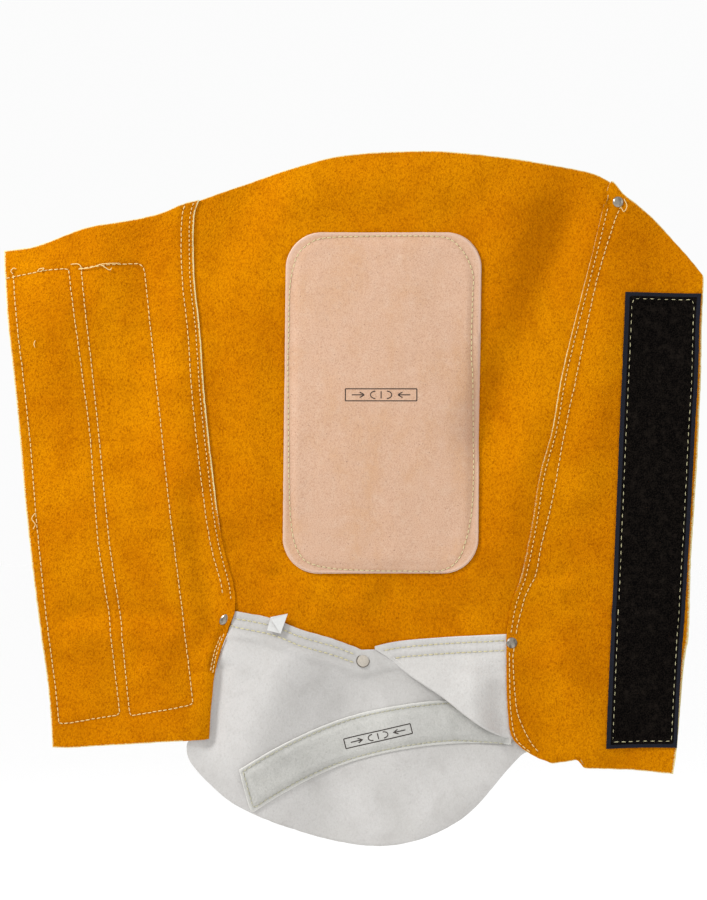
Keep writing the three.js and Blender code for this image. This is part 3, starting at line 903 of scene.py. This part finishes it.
LOOP_CORNERS = [Vector(p) for p in ((157, -242), (207, -242), (170.6, 77.7), (224.4, 77))]
HOOK_CORNERS = [strip_corners(-221, -64.8, -6), strip_corners(-170.5, -60.4, -6)]
LOOP_LINES = [hole_spots(strip_frame(LOOP_CORNERS, 4.2, 4.6), 5.2)]
HOOK_BACK_LINES = [hole_spots(strip_frame(corners, 4, 4)) for corners in HOOK_CORNERS]
PAD_LINES = [hole_spots(Edge([
    (-39, 115.8), (-9, 116.8), (35.5, 116.7), (48.7, 114), (56.1, 106.6), (61.1, 98), (63.9, 88),
    (63.6, 78), (63.0, 62), (62.6, 34), (63.6, 18), (64.2, -21), (64.1, -52), (63.2, -72),
    (61.6, -84), (58.4, -97), (53.5, -109.5), (45.4, -116), (35.4, -118.2), (24, -118.0),
    (-12.5, -117.3), (-37.4, -115.6), (-51.5, -111.9), (-57.5, -106.5), (-61.6, -97), (-63.6, -86),
    (-64.6, -72), (-65.2, -52), (-65.4, -28), (-65.7, 0), (-65.9, 28), (-65.3, 54), (-65.0, 74),
    (-63.6, 88.4), (-59.3, 103.3), (-52.3, 110.8), (-46, 114.2), (-39, 115.8),
]))]


def patch_spot(share, across):
    """A spot on the instep patch: share runs from its right end to its left, across from -1 to 1.
    Its right end is trimmed to stay behind the flap's folded corner."""
    lean = across * PATCH["lean"] * share
    turn = math.radians(PATCH["start"] + (PATCH["end"] - PATCH["start"] - lean) * share)
    low, spot, high = [
        Vector((PATCH["x"] + reach * math.cos(turn), PATCH["z"] + reach * math.sin(turn)))
        for reach in (PATCH["radius"] + a * PATCH["half"] for a in (-1, across, 1))
    ]
    room = min(FLAP_TOP.height(high.x) - 1.5, TUCK_FOLD.height(high.x) + 3) - low.y
    return low.lerp(spot, min(max(room, 3.0) / (high.y - low.y), 1.0))


def patch_line(inset, first, last):
    """Along the patch's lower edge from one share to another, and back along its upper one."""
    across = 1 - inset / PATCH["half"]
    low = [patch_spot(first + (last - first) * i / 40, -across) for i in range(41)]
    high = [patch_spot(first + (last - first) * i / 40, across) for i in range(41)]
    return Edge([*low, *high[::-1]], smooth=False)


PATCH_LINES = [hole_spots(patch_line(2.4, 0.03, 0.986), 3.6)]


# ---------------------------------------------------------------- leather pieces

def left_wing():
    bottom = Edge([(-231, -241.5), (-216, -242), (-183, -240), (-138, -236.5), (-121, -235.5)])
    top = Edge([(-264.5, 106.5), (-241, 110), (-207, 122.5), (-179, 127.5), (-156, 132.5),
                (-138.5, 139.5), (-127, 142.5)])
    outer = Edge([(-231, -241.5), (-235.5, -195), (-250, -73), (-257, 5.5), (-264, 90), (-264.5, 106.5)])
    cut = Cut(bottom, top, outer, joined(LEFT_SEAM, LEFT_ANKLE).reversed())
    seams = LEFT_SEAM_LINES + LEFT_ANKLE_LINES + HOOK_LINES
    piece = hide("left_wing_leather", cut, 74, 180, wing_front, seams, GOLD, rim=0.011,
                 bare=lambda x, z: 1 if x < -140 else smoothstep(-100, -60, z))
    attached(piece, LEFT_BEND, ("left_wing", "left_wing_hem"))
    hung(piece, cut)


def right_wing_bare(x, z):
    """The cut edge shows plainly at the outside, and less and less down the seam."""
    if x > RIGHT_SEAM.side(z) + 12:
        return 1
    return (0.42 + 0.58 * smoothstep(-60, 10, z)) * smoothstep(-140, -120, z)


def right_wing():
    bottom = Edge([(108.5, -248.5), (119, -252.7), (127.5, -252), (138, -250), (141.5, -256),
                   (176, -257.5), (204.5, -260.5)], smooth=False)
    top = Edge([(156, 140), (160.5, 155.5), (170, 146), (190.5, 129.5), (211.5, 107), (225.5, 89.5)])
    outer = Edge([(204.3, -260.5), (207.3, -241), (211.7, -192), (214, -173), (215.5, -162.5),
                  (216.2, -121), (217.6, -92), (221.4, -33), (223.2, 10), (226.1, 80), (225.9, 89.5)])
    cut = Cut(bottom, top, joined(RIGHT_SEAM, RIGHT_ANKLE).reversed(), outer)
    seams = RIGHT_SEAM_LINES + RIGHT_ANKLE_LINES
    piece = hide("right_wing_leather", cut, 60, 190, wing_front, seams, GOLD, rim=0.017,
                 bare=right_wing_bare)
    attached(piece, RIGHT_BEND, ("right_wing", "right_wing_hem"))
    hung(piece, cut)


def shin_panel():
    top = Edge([(-137.5, 138.5), (-127, 142.5), (-97, 153.5), (-64, 164), (-26, 173.5), (27, 176.5),
                (62, 174.5), (90, 171.5), (115, 167.5), (145, 162), (160, 155), (170, 145.5)])
    bottom = Edge([(-118, -162), *[(p.x, p.y - 16) for p in BAND_TOP.points], (102, -178)], smooth=False)
    left = joined(Edge([(-137.5, 138.5), (-138.2, 136)], smooth=False), LEFT_SEAM.moved(-11, 0).part(0.05, 1),
                  Edge([(-114, -146), (-118, -162)], smooth=False))
    right = joined(Edge([(170, 145.5), (171, 140)], smooth=False), RIGHT_SEAM.moved(15, 0).part(0.02, 1),
                   Edge([(102, -162), (102, -178)], smooth=False))
    cut = Cut(bottom, top, left.reversed(), right.reversed())
    piece = hide("shin_panel_leather", cut, 130, 150, panel_front, PAD_LINES, GOLD)
    attached(piece, "shin", ("shin_panel",))
    hung(piece, cut)


def foot_flap():
    top = joined(BAND_LEFT, FLAP_TOP)
    bottom = Edge([(-134, -234), (-137, -241), (-133, -254), (-110.5, -276.5), (-91, -288),
                   (-64, -299), (-36, -307.5), (-5, -311), (19.5, -307.5), (45, -297.5), (64, -284),
                   (86, -258.5), (99.5, -245.5), (104, -246), (109, -248)])
    left = Edge([(-134, -234), (-127.5, -223), (-122, -205), (-116.5, -183), (-109.5, -165), (-103, -146)])
    right = Edge([(109, -248), (105, -238), (100, -230)])
    cut = Cut(bottom, top, left, right)
    seams = BAND_LEFT_LINES + PATCH_LINES
    piece = hide("foot_flap_leather", cut, 110, 80, flap_front, seams, GREY,
                 bare=lambda x, z: 1 if x < -5 or z < -240 else 0)
    attached(piece, TOE_BEND, ("foot_flap", "toe_flap"))
    hung(piece, cut)


def tuck_front(x, z):
    """The folded-over corner lies on the band, leans out towards the leg and ends under the wing."""
    below = max(BAND_TOP.height(x) - z - 13, 0.0)
    middle = smoothstep(-6, 34, x) * smoothstep(0, 26, RIGHT_ANKLE.side(z) - x)
    tip = 1.7 * (1 - smoothstep(2, 16, x))
    swell = 1.6 * math.sin(min(below / 40, 1.0) * math.pi) * middle
    return LAP_FRONT + 0.3 - tip - 0.27 * below * middle - swell + drape(x, z)


def tuck_spot(top, fold, end, row):
    """A spot and its depth, row by row down the tuck's face, round its fold and up its return."""
    face, roll, back_rows = TUCK_ROWS["face"], TUCK_ROWS["roll"], TUCK_ROWS["return"]
    run = (fold - top).length
    radius = min(2.0, 0.4 + 0.06 * run)
    down = (fold - top).normalized()
    start = fold - down * min(radius, run * 0.5)
    spot = top.lerp(start, min(row / face, 1.0))
    y = tuck_front(spot.x, spot.y)
    if row > face:
        turn = min((row - face) / roll, 1.0) * math.pi
        back = max(row - face - roll, 0) / back_rows
        spot = (start + down * math.sin(turn) * radius).lerp(end, back)
        y += radius * (1 - math.cos(turn))
        y += (flap_front(end.x, end.y) + 0.6 - y) * back
    return spot, y


def foot_flap_tuck():
    """The corner of the foot flap, folded over: its face, a rolled edge and a short return."""
    columns, rows = 90, sum(TUCK_ROWS.values())
    top_points = [BAND_RIGHT.at(0.09 + 0.91 * i / columns) for i in range(columns + 1)]
    fold_points = [TUCK_FOLD.at(i / columns) for i in range(columns + 1)]
    end_points = [FLAP_TOP.at(0.95 * i / columns) for i in range(columns + 1)]
    holes = Holes(BAND_RIGHT_LINES)
    bm = bmesh.new()
    edge_mark = bm.verts.layers.float.new("edge")
    stitch_shade_mark = bm.verts.layers.float.new("stitch_shade")
    for vertex, column, height in grid_spots(bm, columns, rows):
        row = rows - height
        spot, y = tuck_spot(top_points[column], fold_points[column], end_points[column], row)
        spot.x += 4 * smoothstep(0.9, 1.0, column / columns)
        press = holes.press(spot.x, spot.y) if row <= TUCK_ROWS["face"] else 0.0
        vertex[edge_mark] = 0.8 if row in (0, rows) else 0.0
        # mask of the painted shade round the band's needle holes
        vertex[stitch_shade_mark] = press
        vertex.co = (spot.x, y + PUCKER * press, spot.y)
    # the corner's lighter grey is painted light
    piece = thickened(made("foot_flap_tuck_leather", bm, [TUCK]), TUCK_LEATHER, sharp=60)
    attached(piece, "shin", ("foot_flap_tuck",))
    (width, length), area = flat_size([*top_points, *fold_points[::-1]])


def pocket_grid(name, place, columns, rows, front, seams, finish, thickness, border):
    bm = draped_grid(place, columns, rows, front, Holes(seams), fray=0.12, border=border)
    return thickened(made(name, bm, [finish]), thickness)


def rounded_spot(u, v, shape):
    """The spot of a rounded rectangle that stands for a spot of a square from -1 to 1."""
    half_x, half_z, corner = shape["width"] / 2, shape["height"] / 2, shape["corner"]
    size = max(abs(u), abs(v))
    if size == 0:
        return Vector((0, 0))
    upright = abs(u) >= abs(v)
    share, near, far = (abs(v), half_z, half_x) if upright else (abs(u), half_x, half_z)
    run = share / size * (near - corner + corner * math.pi / 4)
    angle = max(run - (near - corner), 0.0) / corner
    along = min(run, near - corner) + corner * math.sin(angle)
    out = far - corner + corner * math.cos(angle)
    spot = (out, along) if upright else (along, out)
    spot = Vector((math.copysign(spot[0], u), math.copysign(spot[1], v))) * size
    return spot + Vector((PAD["lean"] * spot.y, 0))


def shin_pad():
    """The pad is a pocket with rounded corners over a bendable plate."""
    columns, rows = 84, 120
    across, up = spread(columns, 0.004), spread(rows, 0.004)

    def place(i, j):
        u = 0.0 if i * 2 == columns else across[i] * 2 - 1
        v = 0.0 if j * 2 == rows else up[j] * 2 - 1
        return rounded_spot(u, v, PAD)

    def border(x, z):
        return 1 - smoothstep(1.2, 2.8, pad_inset(x, z))

    piece = pocket_grid("shin_pad_leather", place, columns, rows, pad_front, PAD_LINES, HIDE,
                        PAD_LEATHER, border)
    attached(piece, "shin", ("shin_pad",))


def instep_patch():
    columns, rows = 110, 20
    across, up = spread(columns, 0.004), spread(rows, 0.025)

    def place(i, j):
        return patch_spot(1 - across[i], up[j] * 2 - 1)

    def border(x, z):
        return 1 - smoothstep(0.6, 1.8, patch_inset(x, z))

    piece = pocket_grid("instep_patch_leather", place, columns, rows, patch_front, PATCH_LINES,
                        GREY_SUEDE, PATCH_LEATHER, border)
    attached(piece, TOE_BEND, ("instep_patch",))


def plates():
    """The bendable plates inside the two pockets."""
    def plate(name, place, columns, rows):
        bm = draped_grid(place, columns, rows, lambda x, z: PLATE_FRONT + drape(x, z), Holes([]),
                         fray=0)
        piece = thickened(made(f"{name}_sheet", bm, [ALUMINIUM]), PLATE)
        attached(piece, "shin", (name,))

    plate("shin_plate", lambda i, j: rounded_spot(i / 15 - 1, j / 25 - 1, PLATE_SHAPE), 30, 50)
    plate("instep_plate", lambda i, j: patch_spot(0.92 - 0.87 * i / 60, (j / 4 - 1) * 0.5), 60, 8)


# ---------------------------------------------------------------- tapes

def tape(node, corners, front, pile, finish, body):
    """A strip of hook or loop tape with woven selvedges, whose pile stands a little proud."""
    columns, rows = 24, 130
    bm = bmesh.new()
    mark = bm.verts.layers.float.new("selvedge")
    across, up = spread(columns, 0.03), spread(rows, 0.004)
    for vertex, column, row in grid_spots(bm, columns, rows):
        u, v = across[column] * 2 - 1, up[row] * 2 - 1
        inset = min((1 - abs(u)) * STRIP["width"] / 2, (1 - abs(v)) * STRIP["height"] / 2)
        spot = strip_spot(corners, u, v)
        if abs(u) == 1:
            spot.x += 0.25 * noise.noise(Vector((u * 2, v * 30, corners[0].x)))
        vertex[mark] = 1 - smoothstep(1.4, 3.0, inset)
        vertex.co = (spot.x, front(spot.x, spot.y) - pile * smoothstep(2.0, 4.0, inset), spot.y)
    piece = thickened(made(f"{node}_tape", bm, [finish]), TAPE)
    attached(piece, body, (node,))


def loop_front(x, z):
    return LOOP_FRONT + drape(x, z)


def hook_front(x, z):
    return HOOK_FRONT + drape(x, z)


def tapes():
    tape("loop_strip", LOOP_CORNERS, loop_front, LOOP_PILE, LOOP, RIGHT_BEND)
    for node, corners in zip(("hook_strip_outer", "hook_strip_inner"), HOOK_CORNERS):
        tape(node, corners, hook_front, 0.0, HOOK, LEFT_BEND)


def care_tag():
    """A little folded tape caught under the band's edge."""
    tag = [(-78.0, -150.0), (-66.0, -147.4), (-70.9, -161.4), (-80.4, -158.9)]
    turned_corner = [(-66.0, -147.4), (-70.9, -161.4), (-77.5, -151.5)]
    bm = bmesh.new()
    for points, lifts in ((tag, (0.0, 0.4, 0.0, 1.4)), (turned_corner, (0.9, 0.8, 2.6))):
        corners = []
        for (x, z), lift in zip(points, lifts):
            lean = 0.06 * (z + 150)
            corners.append(bm.verts.new((x, 0.3 - lift + drape(x, z) + lean, z)))
        bm.faces.new(corners)
    bmesh.ops.recalc_face_normals(bm, faces=bm.faces)
    for face in bm.faces:
        if face.normal.y > 0:
            face.normal_flip()
    piece = thickened(made("care_tag_tape", bm, [LABEL], smooth=False), 0.25)
    attached(piece, "shin", ("care_tag",))


# ---------------------------------------------------------------- rivets

def turned_profile(bm, profile, x, z, outward, y):
    """Spins a profile of radius and height about a rivet's axis."""
    start = [bm.verts.new((x + r, y + outward * h, z)) for r, h in profile]
    edges = [bm.edges.new(pair) for pair in zip(start, start[1:])]
    bmesh.ops.spin(bm, geom=start + edges, cent=(x, 0, z), axis=(0, 1, 0), angle=2 * math.pi,
                   steps=28, use_merge=True, use_duplicate=False)
    bmesh.ops.remove_doubles(bm, verts=bm.verts, dist=0.01)
    bmesh.ops.recalc_face_normals(bm, faces=bm.faces)


def rivet(name, x, z, r, front, back, kind):
    """A cap of radius r on the leg side and a headed post on the outside."""
    if kind == "faced":
        cap = [(0, 0.95), (0.8 * r, 0.93), (0.88 * r, 0.8), (0.9 * r, 0.3), (0.95 * r, 0.3),
               (r, 0.45), (1.04 * r, 0.2), (r, 0.0), (0, 0.0)]
    else:
        cap = [(0, 1.5), (0.3 * r, 1.44), (0.6 * r, 1.2), (0.82 * r, 0.82), (0.95 * r, 0.42),
               (r, 0.2), (0.94 * r, 0.0), (0, 0.0)]
    head = [(0, 1.0), (0.55 * r, 0.92), (0.88 * r, 0.6), (r, 0.25), (0.94 * r, 0.0), (0, 0.0)]
    for part, profile, outward, y in (("cap", cap, -1, front), ("post", head, 1, back)):
        bm = bmesh.new()
        turned_profile(bm, profile, x, z, outward, y)
        # the flat cap's top takes the painted reflection; its sides stay nickel
        if part == "cap" and kind == "faced":
            for face in bm.faces:
                face.material_index = int(face.calc_center_median().y < y - 0.75)
        if part == "cap" and kind == "pulled":
            pulled(bm, x, y, z)
        piece = made(f"{name}_rivet_{part}_finish", bm, [NICKEL, FACED])
        piece.data.set_sharp_from_angle(angle=math.radians(40))
        attached(piece, "shin", (f"{name}_rivet_{part}",))


def pulled(bm, x, y, z):
    """Tips a cap that the folded leather pulls to one side, so that it is seen narrow."""
    home = Matrix.Translation((x, y, z))
    narrow = Matrix.Scale(0.66, 4, (1, 0, 0))
    slant = Matrix.Rotation(math.radians(40), 4, "Y")
    tip = Matrix.Rotation(math.radians(14), 4, "Z")
    bmesh.ops.transform(bm, matrix=home @ slant @ tip @ narrow @ home.inverted(), verts=bm.verts)


def rivets():
    for name, x, z, r, front, kind in (
        ("flap_middle", -13.3, -180.8, 4.6, flap_front, "faced"),
        ("left_ankle", -110.5, -152, 4.5, wing_front, "pulled"),
        ("right_ankle", 90.8, -168, 3.8, wing_front, "domed"),
        ("right_top", 165.5, 141, 3.8, wing_front, "domed"),
    ):
        rivet(name, x, z, r, front(x, z) + 0.1, panel_front(x, z) + LEATHER, kind)


# ---------------------------------------------------------------- printed marks

def stroke(bm, points, width, front):
    """A printed line: a flat ribbon just proud of the leather."""
    line = Edge(points, smooth=False)
    count = max(round(line.length / 1.2), 2)
    route = [line.at(i / count) for i in range(count + 1)]
    left, right = [], []
    for i, spot in enumerate(route):
        along = (route[min(i + 1, len(route) - 1)] - route[max(i - 1, 0)]).normalized()
        side = Vector((-along.y, along.x)) * width / 2
        for ribbon, p in ((left, spot + side), (right, spot - side)):
            ribbon.append(bm.verts.new((p.x, front(p.x, p.y) - 0.09, p.y)))
    for i in range(len(route) - 1):
        bm.faces.new((right[i], right[i + 1], left[i + 1], left[i]))


def pictogram(name, x, z, turn, width, height, front, body):
    """A sign for a part that is bent to shape: a frame, two arrows and a bowed plate between them."""
    angle = math.radians(turn)

    def placed(points):
        return [(x + a * math.cos(angle) - b * math.sin(angle), z + a * math.sin(angle) + b * math.cos(angle))
                for a, b in points]
    w, h = width / 2, height / 2
    bm = bmesh.new()
    lines = [
        [(-w, -h), (0, -h), (w, -h)], [(w, -h), (w, h)], [(w, h), (0, h), (-w, h)], [(-w, h), (-w, -h)],
    ]
    for side in (-1, 1):
        lines.append([(side * 0.82 * w, 0), (side * 0.5 * w, 0)])
        lines.append([(side * 0.6 * w, 0.45 * h), (side * 0.46 * w, 0), (side * 0.6 * w, -0.45 * h)])
        bow = [(side * (0.16 + 0.14 * math.cos(t * math.pi / 8)) * w, 0.62 * h * math.sin(t * math.pi / 8))
               for t in range(-4, 5)]
        lines.append(bow)
    lines.append([(0, -0.6 * h), (0, 0.6 * h)])
    for points in lines:
        stroke(bm, placed(points), 0.7, front)
    piece = thickened(made(name, bm, [PRINT], smooth=False), 0.04)
    attached(piece, body, ())


# ---------------------------------------------------------------- camera, light and ground

def stage():
    scene = bpy.context.scene
    lens = bpy.data.cameras.new("camera")
    lens.lens = 85
    lens.sensor_width = 36
    camera = bpy.data.objects.new("camera", lens)
    camera.location = (-0.020, -1.487, -0.033)
    camera.rotation_euler = (math.radians(90), 0, 0)
    scene.collection.objects.link(camera)
    scene.camera = camera
    scene.view_settings.view_transform = "Standard"
    world = bpy.data.worlds.new("soft white room")
    world.use_nodes = True
    world.node_tree.nodes["Background"].inputs["Color"].default_value = (1, 1, 1, 1)
    world.node_tree.nodes["Background"].inputs["Strength"].default_value = 0.97
    scene.world = world
    for name, place, size, power in (
        ("key light", (-0.95, -0.58, 0.74), 0.3, 16),
        ("side light", (1.8, -1.0, 0.3), 0.9, 2),
        ("back light", (-0.4, 1.6, 1.4), 1.4, 10),
    ):
        lamp = bpy.data.lights.new(name, "AREA")
        lamp.size = size
        lamp.energy = power
        light = bpy.data.objects.new(name, lamp)
        light.location = place
        light.rotation_euler = (Vector((0, 0, -0.05)) - Vector(place)).to_track_quat("-Z", "Y").to_euler()
        scene.collection.objects.link(light)
    floor()


def floor():
    bm = bmesh.new()
    bmesh.ops.create_grid(bm, x_segments=1, y_segments=1, size=12000)
    bmesh.ops.translate(bm, verts=bm.verts, vec=(0, 0, -760))
    pale = Finish("pale floor", 0.9)
    pale.colour((1, 1, 1, 1))
    made("floor", bm, [pale.material], smooth=False)


# ---------------------------------------------------------------- the whole gaiter

def seam_threads():
    sewing("left_seam_stitching", LEFT_SEAM_LINES, wing_front, LEFT_BEND,
           ("left_seam_thread_inner", "left_seam_thread_outer"), shares=(0.6, 0.76))
    sewing("left_ankle_stitching", LEFT_ANKLE_LINES, wing_front, LEFT_BEND,
           ("left_ankle_thread_inner", "left_ankle_thread_outer"))
    tail = [(169.5, 143.0, 0.3), (171.5, 138.0, 1.0), (169.5, 134.0, 0.8), (167.5, 137.0, 0.6)]
    sewing("right_seam_stitching", RIGHT_SEAM_LINES, wing_front, RIGHT_BEND,
           ("right_seam_thread_inner", "right_seam_thread_outer"), tails=[tail], shares=(0.6, 0.76))
    sewing("right_ankle_stitching", RIGHT_ANKLE_LINES, wing_front, RIGHT_BEND,
           ("right_ankle_thread_inner", "right_ankle_thread_outer"))
    sewing("flap_seam_stitching_left", BAND_LEFT_LINES, flap_front, "shin",
           ("flap_seam_thread_left_upper", "flap_seam_thread_left_lower"), PALE_THREAD, GREY_HOLE)
    sewing("flap_seam_stitching_right", BAND_RIGHT_LINES, tuck_front, "shin",
           ("flap_seam_thread_right_upper", "flap_seam_thread_right_lower"), PALE_THREAD, GREY_HOLE)


def pocket_threads():
    sewing("shin_pad_stitching", PAD_LINES, pad_front, "shin", ("shin_pad_thread",), PALE_THREAD)
    sewing("instep_patch_stitching", PATCH_LINES, patch_front, TOE_BEND, ("instep_patch_thread",),
           thread=GREY_THREAD, hole=GREY_HOLE)


def strip_threads():
    tails = [
        [(-258, 90, 0.2), (-259.4, 92, 0.9), (-257.6, 94, 1.1), (-255.6, 93.6, 0.5)],
        [(-241, 91.4, 0.2), (-239.2, 93.4, 0.9), (-236, 93.8, 0.9), (-238.4, 91.4, 0.4)],
        [(-217.5, 96.6, 0.2), (-213, 96.9, 0.8), (-210.5, 95.6, 0.6), (-209.6, 92.4, 0.1)],
        [(-212, 93.2, 0.3), (-203, 94.2, 0.9), (-195, 96.8, 0.8), (-183, 97.6, 0.3)],
        [(-196.5, 96.6, 0.4), (-193.6, 94.6, 1.2), (-190, 92.6, 1.0), (-188.8, 94.4, 0.4)],
        [(-242.2, 43.6, 0.1), (-243, 41.2, 0.8), (-242.6, 38.6, 0.1)],
        [(-243, -77, 0.2), (-245.4, -81, 0.9), (-243, -85, 0.9), (-244.6, -88.5, 0.2)],
    ]
    sewing("hook_strip_stitching", HOOK_LINES, wing_front, LEFT_BEND,
           ("hook_strip_outer_thread", "hook_strip_inner_thread"), tails=tails)
    sewing("hook_strip_stitching_outside", HOOK_BACK_LINES,
           lambda x, z: hook_front(x, z) + TAPE + PUCKER * 0.6, LEFT_BEND, outward=1)
    sewing("loop_strip_stitching", LOOP_LINES,
           lambda x, z: loop_front(x, z) - 0.3 - PUCKER * 0.3, RIGHT_BEND, ("loop_strip_thread",),
           thread=TAPE_THREAD, hole=PRINT, radius=0.3, shares=(0.88,))


def outside_threads():
    """The same seams, seen from the outside of the guard."""
    def panel_back(x, z):
        return panel_front(x, z) + LEATHER + PUCKER * 0.55
    sewing("left_seam_stitching_outside", LEFT_SEAM_LINES, panel_back, "shin", outward=1)
    sewing("right_seam_stitching_outside", [RIGHT_SEAM_LINES[0]], panel_back, "shin", outward=1)
    sewing("shin_pad_stitching_outside", PAD_LINES, panel_back, "shin", outward=1)
    sewing("flap_seam_stitching_outside", BAND_LEFT_LINES + BAND_RIGHT_LINES, panel_back, "shin",
           outward=1)
    sewing("instep_patch_stitching_outside", PATCH_LINES, panel_back, TOE_BEND, outward=1,
           thread=GREY_THREAD, hole=GREY_HOLE)


stage()
left_wing()
right_wing()
shin_panel()
foot_flap()
foot_flap_tuck()
shin_pad()
instep_patch()
plates()
tapes()
care_tag()
rivets()
seam_threads()
pocket_threads()
strip_threads()
outside_threads()
pictogram("shin_pad_pictogram", -0.7, 5.6, 0, 50, 8.4, pad_front, "shin")
pictogram("instep_patch_pictogram", -2.8, -233.8, 14, 48, 7, patch_front, TOE_BEND)
